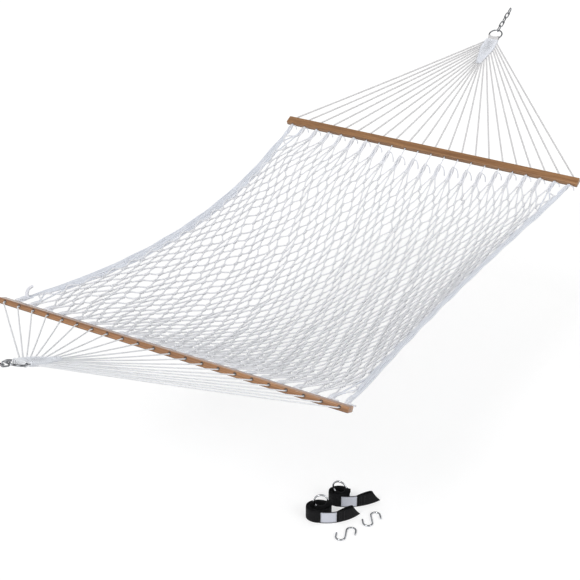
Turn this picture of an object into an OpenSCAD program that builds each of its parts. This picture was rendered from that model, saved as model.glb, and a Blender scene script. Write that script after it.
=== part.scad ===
// Rope hammock with two spreader bars, hung by a ring and a short chain at each end,
// with its two tree straps and two S-hooks lying on the ground below the bed.
// Millimetres. +Z up, +Y from the near end to the far end, +X across the bed.
// The origin is on the ground, below the middle of the bed.

/* [Bed] */
// Distance between the centre lines of the two spreader bars
bed_l = 2000; // [1900:10:2100]
// Height of the bars' centre lines above the ground
bar_h = 800; // [740:10:900]
// Depth of the net's middle below its two ends
net_sag = 272; // [212:10:322]
// Depth of the net's two long edges below their ends, at mid length
edge_sag = 92; // [62:5:132]
// How far each long edge pulls in at mid length, as a share of the half width
waist = 0.13; // [0.08:0.01:0.18]
// Diameter of the net's rope
rope_d = 6; // [5:0.5:7]
// Width of the net's strands, which are drawn flat
strand_w = 14; // [10:1:18]
// Diameter of the gathered rope along each long edge
edge_d = 24; // [18:1:28]

/* [Spreader bars] */
// Length of a spreader bar, which is the bed's width
bar_l = 1400; // [1300:10:1500]
// Depth of a bar along its cords
bar_w = 38; // [34:1:42]
// Height of a bar
bar_t = 21; // [18:1:26]
// Bevel along a bar's long edges
bar_bevel = 3; // [1:0.5:5]
// Diameter of the holes that the cords pass through
hole_d = 7; // [6:0.5:9]
// Distance from a bar's end to its first hole
hole_margin = 32; // [26:1:40]

/* [Clews] */
// Distance from a bar's centre line to the centre of its ring
clew_l = 780; // [700:10:860]
// Angle at which the clews rise from the bars to the rings
clew_slope = 24.6; // [20:0.2:30]
// Diameter of the clew cords
cord_d = 4.6; // [4:0.2:5]
// Length of the woven head beside each ring
head_l = 220; // [190:5:250]
// Distance from the ring to the head's widest place
head_shoulder = 26; // [20:1:40]
// Width of the woven head where it starts at the ring
head_w = 46; // [42:1:50]
// Thickness of the woven head
head_t = 10; // [8:0.5:12]
// Diameter of the knots between each bar and the net
knot_d = 12; // [10:0.5:13]
// Length of those knots
knot_l = 38; // [30:1:44]

/* [Rings and chains] */
// Outer diameter of the hammock's end rings
ring_d = 66; // [62:1:72]
// Wire diameter of the end rings
ring_wire = 6.5; // [6:0.5:7]
// Wire diameter of the chain links
link_wire = 5; // [4.5:0.1:5.2]
// Inside length of a chain link
link_in_l = 32; // [30:1:38]
// Inside width of a chain link
link_in_w = 10; // [9.6:0.1:12]

/* [Tree straps] */
// Width of the webbing
strap_w = 50; // [45:1:55]
// Thickness of the webbing
strap_t = 2; // [1.6:0.1:2.4]
// Distance between the turns of a coiled strap
turn_pitch = 4.6; // [4:0.1:5]
// Outer diameter of the ring on a strap
strap_ring_d = 60; // [56:1:64]
// Wire diameter of that ring
strap_ring_wire = 7; // [6:0.5:8]
// Length of the sewn label
label_l = 58; // [40:1:62]
// Height of the sewn label
label_h = 44; // [36:1:46]
// Thickness of the sewn label
label_t = 0.8; // [0.6:0.1:1]

/* [S-hooks] */
// Length of an S-hook over both of its bows
s_hook_l = 84; // [76:1:92]
// Inside width of each of its bows
s_hook_in_w = 27; // [24:1:30]
// Wire diameter of an S-hook
s_hook_wire = 7; // [6:0.5:8]

/* [Hidden] */
$fn = 48;

// Running gaps between pieces that move against each other
link_gap = 0.25;
anchor_gap = 0.5;
eye_gap = 0.4;
// How far a rope piece runs into its neighbour where the two join
tuck = 2;

// Spreader bars and their holes
hole_n = 22;
hole_pitch = (bar_l - 2 * hole_margin) / (hole_n - 1);
hole_x = [for (i = [0 : hole_n - 1]) (i - (hole_n - 1) / 2) * hole_pitch];

// The bed's surface: u runs from -1 to 1 across it, t from 0 to 1 between the bars' inner faces
bed_span = bed_l - bar_w * cos(clew_slope);
bed_end_h = bar_h - bar_w / 2 * sin(clew_slope);
bed_hw = hole_x[hole_n - 1];
function bow(t) = 4 * t * (1 - t);
function bed_point(u, t, lift = 0) = [
    u * bed_hw * (1 - waist * bow(t)),
    (t - 0.5) * bed_span,
    bed_end_h - (edge_sag + (net_sag - edge_sag) * (1 - u * u)) * bow(t) + lift
];

// The net is a lattice of diamond cells, drawn in patches, each a solid of its own
cell_cols = 26;
cell_rows = 24;
patch_cols = 7;
patch_rows = 4;
patch_gap = 0.4;
net_u = 1 - (edge_d / 2 - tuck) / bed_hw;
net_t0 = (knot_l - tuck) / bed_span;
cell_w = 2 * bed_hw / cell_cols;
cell_l = bed_span / cell_rows;
// Share of a cell that is open, so that the strands are strand_w wide
cell_open = 1 - strand_w / 2 * norm([cell_w, cell_l]) / (cell_w * cell_l);

function net_point(c, side) = bed_point(
    net_u * (2 * c[0] / cell_cols - 1),
    net_t0 + (1 - 2 * net_t0) * c[1] / cell_rows,
    (side - 0.5) * rope_d
);
function in_net(c) = c[0] >= 0 && c[0] <= cell_cols && c[1] >= 0 && c[1] <= cell_rows;
function cell_corners(c) = [for (step = [[0, -1], [1, 0], [0, 1], [-1, 0]]) if (in_net(c + step)) c + step];
function middle(list) = [for (p = list) 1 / len(list)] * list;
function patch_of(c) = [floor(c[0] / patch_cols), min(floor(c[1] / patch_rows), cell_rows / patch_rows - 1)];
// A lattice place drawn in towards its patch's middle by half the gap between patches
function in_patch(c, patch) = let (
        m = [(patch[0] + 0.5) * patch_cols, (patch[1] + 0.5) * patch_rows],
        d = c - m
    ) m + [d[0] * (1 - patch_gap / cell_w / patch_cols), d[1] * (1 - patch_gap / cell_l / patch_rows)];

// The bars, clews, rings and chains lie in a slope; their places are measured up it from a bar's centre line
ring_r = (ring_d - ring_wire) / 2;
link_half = (link_in_l + link_wire) / 2;
link_step = 2 * link_half - link_wire - link_gap;
link_n = 5;
function link_at(n) = clew_l + ring_r - (ring_wire + link_wire) / 2 - link_gap + link_half
    + (n - 1) * link_step - (n == link_n ? anchor_gap - link_gap : 0);

// The woven head, measured back from the ring's centre towards the bar
head_widest = ring_r + head_shoulder;
head_tip = ring_r + head_l;
head_tip_hw = 1.5 * cord_d;
head_hw = head_w / 2 + 3;
sleeve_angle = 2 * asin(head_w / 2 / ring_r);

// Where cord i leaves the head: the outer cords first, the middle ones at the tip
function head_share(i) = 1 - (abs(i - (hole_n - 1) / 2) - 0.5) / (hole_n / 2 - 1);
function head_point(i) = [
    sign(i - (hole_n - 1) / 2) * (head_hw + (head_tip_hw - head_hw) * head_share(i) - cord_d / 2),
    clew_l - head_widest - (head_tip - head_widest) * head_share(i),
    (i % 2 - 0.5) * (head_t - cord_d)
];
function on_slope(p) = [
    p[0],
    bed_l / 2 + p[1] * cos(clew_slope) - p[2] * sin(clew_slope),
    bar_h + p[1] * sin(clew_slope) + p[2] * cos(clew_slope)
];

// The kit lies on the ground, turned with its right-hand side along kit_turn
kit_at = [449, -544, 0];
kit_turn = 30;
// Coil centre, outer radii, ring centre and turn, tail's control points and the eye's return
strap_a = [[-96, -9], [49, 38], [-89, -5, 67], 0, [[-52, -56], [12, -42], [56, 9]], [[38, 8], [2, -14]]];
strap_b = [[-19, 83], [41, 33], [-19, 80, 66], -24, [[22, 42], [86, 54], [134, 92]], [[112, 92], [80, 82]]];
coil_turns = 2.7;
coil_steps = 30;
tail_steps = 28;
eye_joint = 0.42;
s_hooks = [[0, -115, -9], [97, -28, 5]];
s_hook_leg = 22;

function bezier(a, b, c, d, n) = [
    for (i = [0 : n]) let (t = i / n, s = 1 - t)
        s * s * s * a + 3 * s * s * t * b + 3 * s * t * t * c + t * t * t * d
];
function bezier3(a, b, c, t) = (1 - t) * (1 - t) * a + 2 * t * (1 - t) * b + t * t * c;
function coil_point(strap, turn) = strap[0] + [
    (strap[1][0] - turn * turn_pitch) * cos(270 - 360 * turn),
    (strap[1][1] - turn * turn_pitch) * sin(270 - 360 * turn)
];
function coil_path(strap) = [
    for (i = [ceil(coil_turns * coil_steps) : -1 : 1]) coil_point(strap, i / coil_steps)
];
function tail_path(strap) = let (p = strap[4])
    bezier(coil_point(strap, 0), p[0], p[1], p[2], tail_steps);
function strap_path(strap) = concat(coil_path(strap), tail_path(strap));
function eye_path(strap) = let (tail = tail_path(strap), back = strap[5])
    bezier(tail[tail_steps], back[0], back[1], tail[floor(eye_joint * tail_steps)], tail_steps);
function normal_at(path, i) = let (
        run = path[min(i + 1, len(path) - 1)] - path[max(i - 1, 0)]
    ) [-run[1], run[0]] / norm(run);
function beside(path, d) = [for (i = [0 : len(path) - 1]) path[i] + d * normal_at(path, i)];
function backwards(list) = [for (i = [len(list) - 1 : -1 : 0]) list[i]];
function run_to(path, i) = i == 0 ? 0 : run_to(path, i - 1) + norm(path[i] - path[i - 1]);
strap_ring_r = (strap_ring_d - strap_ring_wire) / 2;
loop_r = strap_ring_wire / 2 + eye_gap + strap_t;
loop_from = -130;
loop_angle = 2 * asin(strap_w / 2 / strap_ring_r);
function ring_edge(strap, angle, out = 0) = strap[2] + (strap_ring_r + loop_r - strap_t / 2 + out)
    * [cos(angle) * cos(strap[3]), cos(angle) * sin(strap[3]), sin(angle)];
crossing_steps = 10;
crossing_rise = 5;
label_start = 6;
s_hook_r = (s_hook_in_w + s_hook_wire) / 2;
s_hook_mid = (s_hook_l - 2 * s_hook_r - s_hook_wire) / 2;

module rod(a, b, d) {
    run = b - a;
    translate(a)
        rotate([0, acos(run[2] / norm(run)), atan2(run[1], run[0])])
            cylinder(d = d, h = norm(run));
}

module torus(r, wire, angle = 360) {
    rotate_extrude(angle = angle) translate([r, 0]) circle(d = wire);
}

module at_end(far) {
    if (far) children();
    else mirror([0, 1, 0]) children();
}

module slope() {
    translate([0, bed_l / 2, bar_h]) rotate([clew_slope, 0, 0]) children();
}

module bar() {
    slope() difference() {
        rotate([90, 0, 90]) linear_extrude(bar_l, center = true) polygon([
            for (s = [[1, 1], [-1, 1], [-1, -1], [1, -1]], k = [0, 1]) let (flat = (s[0] * s[1] > 0) == (k == 0))
                [s[0] * (bar_w / 2 - (flat ? 0 : bar_bevel)), s[1] * (bar_t / 2 - (flat ? bar_bevel : 0))]
        ]);
        for (x = hole_x) translate([x, 0, 0]) rotate([90, 0, 0])
            cylinder(d = hole_d, h = bar_w + 2, center = true);
    }
}

module net_patch(patch) {
    low = [patch[0] * patch_cols - 1, patch[1] * patch_rows - 1];
    size = [patch_cols + 2, patch_rows + 3];
    cells = [
        for (j = [0 : cell_rows], i = [0 : cell_cols]) if ((i + j) % 2 == 1 && patch_of([i, j]) == patch) [i, j]
    ];
    rim = 2 * size[0] * size[1];
    function node_id(c, side) = 2 * ((c[1] - low[1]) * size[0] + c[0] - low[0]) + side;
    points = concat(
        [for (j = [0 : size[1] - 1], i = [0 : size[0] - 1], side = [0, 1])
            net_point(in_patch(low + [i, j], patch), side)],
        [for (c = cells) let (corners = cell_corners(c), m = middle(corners))
            for (k = [0 : 3], side = [0, 1])
                net_point(in_patch(m + cell_open * (corners[k % len(corners)] - m), patch), side)]
    );
    faces = [for (n = [0 : len(cells) - 1]) let (c = cells[n], corners = cell_corners(c), sides = len(corners))
        for (k = [0 : sides - 1]) let (
            next = (k + 1) % sides,
            a = corners[k],
            b = corners[next],
            ia = rim + 8 * n + 2 * k,
            ib = rim + 8 * n + 2 * next,
            border = abs(a[0] - b[0]) == 2 || abs(a[1] - b[1]) == 2,
            open_side = border || patch_of(a + b - c) != patch
        ) each concat(
            [[ia + 1, ib + 1, node_id(b, 1)], [ia + 1, node_id(b, 1), node_id(a, 1)]],
            [[node_id(a, 0), node_id(b, 0), ib], [node_id(a, 0), ib, ia]],
            [[ib + 1, ia + 1, ia], [ib + 1, ia, ib]],
            open_side ? [
                [node_id(a, 1), node_id(b, 1), node_id(b, 0)],
                [node_id(a, 1), node_id(b, 0), node_id(a, 0)]
            ] : []
        )
    ];
    polyhedron(points, faces);
}

module bed_net() {
    color("ghostwhite")
        for (j = [0 : cell_rows / patch_rows - 1], i = [0 : floor(cell_cols / patch_cols)]) net_patch([i, j]);
}

// A rope along a path of points, as one closed solid
module tube(path, d, sides = 8) {
    last = len(path) - 1;
    points = [for (i = [0 : last]) let (
            run = path[min(i + 1, last)] - path[max(i - 1, 0)],
            across = cross(run, [0, 0, 1]) / norm(cross(run, [0, 0, 1])),
            up = cross(across, run) / norm(run)
        ) for (k = [0 : sides - 1])
            path[i] + d / 2 * (across * cos(360 * k / sides) + up * sin(360 * k / sides))
    ];
    walls = [for (i = [0 : last - 1], k = [0 : sides - 1]) let (a = i * sides, n = (k + 1) % sides)
        each [[a + k, a + n, a + sides + n], [a + k, a + sides + n, a + sides + k]]];
    caps = [[for (k = [0 : sides - 1]) sides - 1 - k], [for (k = [0 : sides - 1]) last * sides + k]];
    polyhedron(points, concat(walls, caps));
}

module edge_rope(side) {
    rings = 36;
    color("aliceblue")
        tube([for (i = [0 : rings]) bed_point(side, net_t0 + (1 - 2 * net_t0) * i / rings)], edge_d);
}

module net_knots(far) {
    color("white") at_end(far) for (x = hole_x) {
        run = bed_point(x / bed_hw, 1 - knot_l / bed_span) - bed_point(x / bed_hw, 1);
        start = on_slope([x, -bar_w / 2 - tuck, 0]);
        length = norm(run) - tuck;
        translate(start) rotate([0, acos(run[2] / norm(run)), atan2(run[1], run[0])])
            rotate_extrude() polygon([
                [0, 0], [cord_d / 2, 0], [knot_d / 2, length / 4],
                [knot_d / 2, 3 * length / 4], [cord_d / 2, length], [0, length]
            ]);
    }
}

module clew_cords(far) {
    color("white") at_end(far) for (i = [0 : hole_n - 1]) tube([
        on_slope([hole_x[i], -bar_w / 2 - 3 * tuck, 0]),
        on_slope([hole_x[i], bar_w / 2 + cord_d, 0]),
        on_slope(head_point(i))
    ], cord_d);
}

module clew_head(far) {
    color("lavender") at_end(far) slope() translate([0, clew_l, 0]) difference() {
        union() {
            difference() {
                linear_extrude(head_t, center = true) polygon([
                    [head_w / 2, 0], [-head_w / 2, 0],
                    [-head_hw, -head_widest], [-head_tip_hw, -head_tip],
                    [head_tip_hw, -head_tip], [head_hw, -head_widest]
                ]);
                cylinder(r = ring_r, h = 2 * head_t, center = true);
            }
            rotate(270 - sleeve_angle / 2)
                torus(ring_r, ring_wire + 2 * eye_gap + 2 * cord_d, sleeve_angle);
        }
        torus(ring_r, ring_wire + 2 * eye_gap);
    }
}

module end_ring(far) {
    color("silver") at_end(far) slope() translate([0, clew_l, 0]) torus(ring_r, ring_wire);
}

module link() {
    bow_r = (link_in_w + link_wire) / 2;
    straight = link_in_l - link_in_w;
    for (s = [1, -1]) {
        translate([0, s * straight / 2, 0]) rotate(90 - 90 * s) torus(bow_r, link_wire, 180);
        rod([s * bow_r, -straight / 2, 0], [s * bow_r, straight / 2, 0], link_wire);
    }
}

module chain_link(far, n) {
    color("gainsboro") at_end(far) slope() translate([0, link_at(n), 0]) rotate([0, 90 * (n % 2), 0]) link();
}

module band(path, from, to, low, high, first = 0, last = 1e9) {
    end = min(last, len(path) - 1);
    translate([0, 0, low]) linear_extrude(high - low) polygon(concat(
        [for (i = [first : end]) beside(path, from)[i]],
        backwards([for (i = [first : end]) beside(path, to)[i]])
    ));
}

module in_kit() {
    translate(kit_at) rotate(kit_turn) children();
}

// A thin sheet through a grid of points, as one closed solid
module sheet(grid, thick) {
    rows = len(grid) - 1;
    cols = len(grid[0]) - 1;
    function face_normal(i, j) = let (
            along = grid[min(i + 1, rows)][j] - grid[max(i - 1, 0)][j],
            across = grid[i][min(j + 1, cols)] - grid[i][max(j - 1, 0)]
        ) cross(along, across) / norm(cross(along, across));
    function id(i, j, side) = 2 * (i * (cols + 1) + j) + side;
    function quad(a, b, c, d) = [[a, b, c], [a, c, d]];
    points = [for (i = [0 : rows], j = [0 : cols], side = [-1, 1])
        grid[i][j] + side * thick / 2 * face_normal(i, j)];
    polyhedron(points, [
        for (i = [0 : rows - 1], j = [0 : cols - 1]) each concat(
            quad(id(i, j, 1), id(i, j + 1, 1), id(i + 1, j + 1, 1), id(i + 1, j, 1)),
            quad(id(i, j, 0), id(i + 1, j, 0), id(i + 1, j + 1, 0), id(i, j + 1, 0))
        ),
        for (i = [0 : rows - 1]) each concat(
            quad(id(i, 0, 0), id(i, 0, 1), id(i + 1, 0, 1), id(i + 1, 0, 0)),
            quad(id(i, cols, 1), id(i, cols, 0), id(i + 1, cols, 0), id(i + 1, cols, 1))
        ),
        for (j = [0 : cols - 1]) each concat(
            quad(id(0, j, 1), id(0, j, 0), id(0, j + 1, 0), id(0, j + 1, 1)),
            quad(id(rows, j, 0), id(rows, j, 1), id(rows, j + 1, 1), id(rows, j + 1, 0))
        )
    ]);
}

// The stretch between the coil's inner end and the ring, which twists from upright to the ring's plane
function crossing(strap, i, j) = let (
        angle = loop_from + loop_angle * j / crossing_steps,
        start = strap_path(strap)[0],
        foot = [start[0], start[1], strap_w * j / crossing_steps],
        f = i / crossing_steps
    ) bezier3(ring_edge(strap, angle), ring_edge(strap, angle, crossing_rise), foot, f);

module strap_webbing(strap) {
    color("#1b1b1d") in_kit() {
        band(strap_path(strap), -strap_t / 2, strap_t / 2, 0, strap_w);
        band(eye_path(strap), -strap_t / 2, strap_t / 2, 0, strap_w);
        sheet([for (i = [0 : crossing_steps]) [for (j = [0 : crossing_steps]) crossing(strap, i, j)]], strap_t);
    }
}

module strap_ring_frame(strap) {
    in_kit() translate(strap[2]) rotate(strap[3]) rotate([90, 0, 0]) children();
}

module strap_ring_loop(strap) {
    color("#232326") strap_ring_frame(strap) difference() {
        rotate(loop_from) torus(strap_ring_r, 2 * loop_r, loop_angle);
        torus(strap_ring_r, strap_ring_wire + 2 * eye_gap);
    }
}

module strap_ring(strap) {
    color("silver") strap_ring_frame(strap) torus(strap_ring_r, strap_ring_wire);
}

module strap_label(strap) {
    path = tail_path(strap);
    held = [for (i = [0 : tail_steps]) if (run_to(path, i) >= label_start && run_to(path, i) <= label_start + label_l) i];
    margin = (strap_w - label_h) / 2;
    color("lightgray") in_kit()
        band(path, -strap_t / 2 - label_t, -strap_t / 2, margin, margin + label_h, held[0], held[len(held) - 1]);
}

module s_hook(place) {
    color("silver") in_kit() translate([place[0], place[1], s_hook_wire / 2]) rotate(place[2])
        for (turn = [0, 180]) rotate(turn) {
            translate([s_hook_r, s_hook_mid, 0]) torus(s_hook_r, s_hook_wire, 180);
            rod([0, 0, 0], [0, s_hook_mid, 0], s_hook_wire);
            rod([2 * s_hook_r, s_hook_mid - s_hook_leg, 0], [2 * s_hook_r, s_hook_mid, 0], s_hook_wire);
        }
}

color("peru") at_end(false) bar();  // near_spreader_bar
color("peru") bar();  // far_spreader_bar
bed_net();
edge_rope(-1);  // left_edge_rope
edge_rope(1);  // right_edge_rope
net_knots(false);  // near_net_knots
net_knots(true);  // far_net_knots
clew_cords(false);  // near_clew_cords
clew_cords(true);  // far_clew_cords
clew_head(false);  // near_clew_head
clew_head(true);  // far_clew_head
end_ring(false);  // near_ring
end_ring(true);  // far_ring
for (n = [1 : link_n - 1]) {
    chain_link(false, n);
    chain_link(true, n);
}
chain_link(false, link_n);  // near_anchor_link
chain_link(true, link_n);  // far_anchor_link
strap_webbing(strap_a);  // strap_a_webbing
strap_webbing(strap_b);  // strap_b_webbing
strap_ring_loop(strap_a);  // strap_a_ring_loop
strap_ring_loop(strap_b);  // strap_b_ring_loop
strap_ring(strap_a);  // strap_a_ring
strap_ring(strap_b);  // strap_b_ring
strap_label(strap_a);  // strap_a_label
strap_label(strap_b);  // strap_b_label
s_hook(s_hooks[0]);  // s_hook_a
s_hook(s_hooks[1]);  // s_hook_b
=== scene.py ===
import math
import bpy
import numpy as np
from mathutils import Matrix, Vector


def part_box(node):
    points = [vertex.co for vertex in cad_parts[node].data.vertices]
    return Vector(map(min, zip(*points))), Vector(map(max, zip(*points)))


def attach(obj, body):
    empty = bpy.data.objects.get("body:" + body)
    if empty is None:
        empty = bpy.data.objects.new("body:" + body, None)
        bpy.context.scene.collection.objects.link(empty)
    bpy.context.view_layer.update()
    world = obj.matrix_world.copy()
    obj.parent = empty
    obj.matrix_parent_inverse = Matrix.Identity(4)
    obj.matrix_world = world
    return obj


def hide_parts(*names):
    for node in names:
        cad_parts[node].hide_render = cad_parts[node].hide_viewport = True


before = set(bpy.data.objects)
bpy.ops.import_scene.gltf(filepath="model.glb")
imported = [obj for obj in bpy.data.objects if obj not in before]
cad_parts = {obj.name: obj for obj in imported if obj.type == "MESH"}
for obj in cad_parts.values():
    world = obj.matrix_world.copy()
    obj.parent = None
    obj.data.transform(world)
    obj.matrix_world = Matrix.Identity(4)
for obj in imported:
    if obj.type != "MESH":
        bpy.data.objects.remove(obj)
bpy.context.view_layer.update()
bpy.ops.object.select_all(action="DESELECT")
scene = bpy.context.scene
rng = np.random.default_rng(11)
print("frame loaded:", len(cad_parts), "nodes")


def addNode(tree, kind, inputs=None, **settings):
    made = tree.nodes.new("ShaderNode" + kind)
    for key, value in settings.items():
        setattr(made, key, value)
    for key, value in (inputs or {}).items():
        if isinstance(value, bpy.types.NodeSocket):
            tree.links.new(value, made.inputs[key])
        else:
            made.inputs[key].default_value = value
    return made


def startMaterial(name, **values):
    material = bpy.data.materials.new(name)
    material.use_nodes = True
    tree = material.node_tree
    shader = tree.nodes["Principled BSDF"]
    for key, value in values.items():
        shader.inputs[key].default_value = value
    return material, tree, shader


def math2(tree, operation, a, b=0.0):
    return addNode(tree, "Math", {0: a, 1: b}, operation=operation).outputs[0]


def spread(tree, value, low, high, toLow=0.0, toHigh=1.0):  # one range of values laid onto another
    inputs = {"Value": value, "From Min": low, "From Max": high, "To Min": toLow, "To Max": toHigh}
    return addNode(tree, "MapRange", inputs).outputs[0]


# Camera, floor and light
studio = {
    "sensor": 36, "lens": 87.9, "reach": 100,
    "cameraAt": (2.402, -4.267, 3.199), "cameraDown": 28.27, "cameraTurn": 30.44,
    "floor": 60.0, "floorColour": 0.62, "floorGlow": 0.46,
    "sky": 0.56, "zenith": 0.24, "ceilingStart": 0.15, "ceilingEnd": 0.7,
    "key": {"strength": 1.25, "height": 48.0, "turn": -10.0, "softness": 24.0},
    "fill": {"strength": 0.75, "height": 28.0, "turn": 80.0, "softness": 40.0},
}


def makeCamera():
    data = bpy.data.cameras.new("camera")
    data.sensor_width = studio["sensor"]
    data.lens = studio["lens"]
    data.clip_end = studio["reach"]
    camera = bpy.data.objects.new("camera", data)
    camera.location = studio["cameraAt"]
    camera.rotation_euler = (math.radians(90 - studio["cameraDown"]), 0, math.radians(studio["cameraTurn"]))
    scene.collection.objects.link(camera)
    scene.camera = camera


def seenRays(tree):  # 1 for what the camera sees by itself, and 1 for what metal or glass shows
    path = addNode(tree, "LightPath")
    mirrored = math2(tree, "MAXIMUM", path.outputs["Is Glossy Ray"], path.outputs["Is Transmission Ray"])
    return path.outputs["Is Camera Ray"], mirrored


def makeFloor():
    bpy.ops.mesh.primitive_plane_add(size=studio["floor"], location=(0, 0, 0))
    floor = bpy.context.object
    floor.name = "floor"
    floor.select_set(False)
    colour = (studio["floorColour"],) * 3 + (1,)
    values = {"Base Color": colour, "Roughness": 1.0, "Specular IOR Level": 0.0}
    material, tree, shader = startMaterial("floorWhite", **values)
    strength = math2(tree, "MULTIPLY", math2(tree, "MAXIMUM", *seenRays(tree)), studio["floorGlow"])
    glow = addNode(tree, "Emission", {"Color": (1, 1, 1, 1), "Strength": strength})
    both = addNode(tree, "AddShader", {0: shader.outputs[0], 1: glow.outputs[0]})
    tree.links.new(both.outputs[0], tree.nodes["Material Output"].inputs[0])
    floor.data.materials.append(material)


# An even sky: the camera sees it white, and metal sees a bright surround with a dimmer ceiling
def makeWorld():
    world = bpy.data.worlds.new("studio")
    scene.world = world
    world.use_nodes = True
    tree = world.node_tree
    camera, mirrored = seenRays(tree)
    height = addNode(tree, "SeparateXYZ", {0: addNode(tree, "TexCoord").outputs["Generated"]}).outputs[2]
    ceiling = spread(tree, height, studio["ceilingStart"], studio["ceilingEnd"], 1.0, studio["zenith"])
    shown = math2(tree, "MULTIPLY", mirrored, math2(tree, "SUBTRACT", ceiling, studio["sky"]))
    seen = math2(tree, "MULTIPLY", camera, 1 - studio["sky"])
    strength = math2(tree, "ADD", studio["sky"], math2(tree, "ADD", shown, seen))
    tree.links.new(strength, tree.nodes["Background"].inputs["Strength"])
    tree.nodes["Background"].inputs["Color"].default_value = (1, 1, 1, 1)


def makeSun(name):  # a broad lamp far away, so that it lights the whole floor alike
    look = studio[name]
    data = bpy.data.lights.new(name, "SUN")
    data.energy = look["strength"]
    data.angle = math.radians(look["softness"])
    lamp = bpy.data.objects.new(name, data)
    lamp.rotation_euler = (math.radians(90 - look["height"]), 0, math.radians(look["turn"]))
    scene.collection.objects.link(lamp)


makeCamera()
makeFloor()
makeWorld()
for name in ("key", "fill"):
    makeSun(name)
scene.view_settings.view_transform = "Standard"
print("stage set")


# Measures of the hammock, from the frame
def middle(node):
    low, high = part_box(node)
    return (low + high) / 2


def reachAlong(node, direction):  # a node's size in any direction
    places = [corner.co.dot(Vector(direction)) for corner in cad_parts[node].data.vertices]
    return max(places) - min(places)


barAt = middle("far_spreader_bar")
ringAt = middle("far_ring")
slopeRun = Vector((ringAt.y - barAt.y, ringAt.z - barAt.z))
clewLength = slopeRun.length
slopeCos, slopeSin = slopeRun / clewLength
slopeAngle = math.atan2(slopeSin, slopeCos)
barLength = reachAlong("far_spreader_bar", (1, 0, 0))
barDepth = reachAlong("far_spreader_bar", (0, slopeCos, slopeSin))
barHeight = reachAlong("far_spreader_bar", (0, -slopeSin, slopeCos))
holes = {"count": 22, "margin": 0.032, "diameter": 0.007}
holePitch = (barLength - 2 * holes["margin"]) / (holes["count"] - 1)
holeX = (np.arange(holes["count"]) - (holes["count"] - 1) / 2) * holePitch
ends = {"near": -1, "far": 1}
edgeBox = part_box("right_edge_rope")
edgeRadius = 0.012  # half the selvage's thickness, and half the net's
netHalf = 0.003
bedEnd = barAt.z - barDepth / 2 * slopeSin
bed = {
    "halfWidth": holeX[-1],
    "span": 2 * (barAt.y - barDepth / 2 * slopeCos),
    "edgeSag": bedEnd - edgeBox[0].z - edgeRadius,
    "netSag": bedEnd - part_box("bed_net")[0].z - netHalf,
    "waist": 1 - (edgeBox[0].x + edgeRadius) / holeX[-1],
}


def bedPoint(u, t):  # u from -1 to 1 across the bed, t from 0 to 1 from the near bar to the far one
    u, t = np.broadcast_arrays(np.asarray(u, float), np.asarray(t, float))
    bow = 4 * t * (1 - t)
    x = u * bed["halfWidth"] * (1 - bed["waist"] * bow)
    drop = (bed["edgeSag"] + (bed["netSag"] - bed["edgeSag"]) * (1 - u * u)) * bow
    return np.stack([x, (t - 0.5) * bed["span"], bedEnd - drop], -1)


def unit(vectors):
    return vectors / np.linalg.norm(vectors, axis=-1, keepdims=True)


def bedPlace(u, t, across=0, lift=0):  # a point beside and above the bed's surface
    step = 1e-3
    along = bedPoint(u, t + step) - bedPoint(u, t - step)
    side = unit(bedPoint(u + step, t) - bedPoint(u - step, t))
    up = unit(np.cross(side, along))
    return bedPoint(u, t) + np.asarray(across)[..., None] * side + np.asarray(lift)[..., None] * up


def slopePoint(x, up, out, side):  # up the clew from a bar's middle, and out from its plane
    y = barAt.y + up * slopeCos - out * slopeSin
    return np.stack(np.broadcast_arrays(x, side * y, barAt.z + up * slopeSin + out * slopeCos), -1)


# Materials
def blendColours(tree, share, low, high):
    colours = [value if isinstance(value, bpy.types.NodeSocket) else (*value, 1) for value in (low, high)]
    return addNode(tree, "Mix", {0: share, 6: colours[0], 7: colours[1]}, data_type="RGBA").outputs[2]


def objectPlace(tree, scale=(1, 1, 1), location=(0, 0, 0)):
    place = addNode(tree, "TexCoord").outputs["Object"]
    return addNode(tree, "Mapping", {"Vector": place, "Scale": scale, "Location": location}).outputs[0]


def noise(tree, place, scale, detail=2.0, roughness=0.5):
    inputs = {"Vector": place, "Scale": scale, "Detail": detail, "Roughness": roughness}
    return addNode(tree, "TexNoise", inputs).outputs[0]


def bumpInto(tree, shader, height, strength, distance):
    bump = addNode(tree, "Bump", {"Height": height, "Strength": strength, "Distance": distance})
    tree.links.new(bump.outputs[0], shader.inputs["Normal"])


def uvParts(tree):  # round a rope and along it, or across a strap and along it
    return addNode(tree, "SeparateXYZ", {0: addNode(tree, "UVMap", uv_map="UVMap").outputs[0]}).outputs


def sumOf(tree, a, aShare, b, bShare):  # two patterns added, each with its own weight
    return math2(tree, "ADD", math2(tree, "MULTIPLY", a, aShare), math2(tree, "MULTIPLY", b, bShare))


ropeGrain = {"strands": 3, "yarns": 12, "yarnSlant": 18, "stains": 14.0, "stained": 0.8, "fibres": 1400.0}


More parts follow.
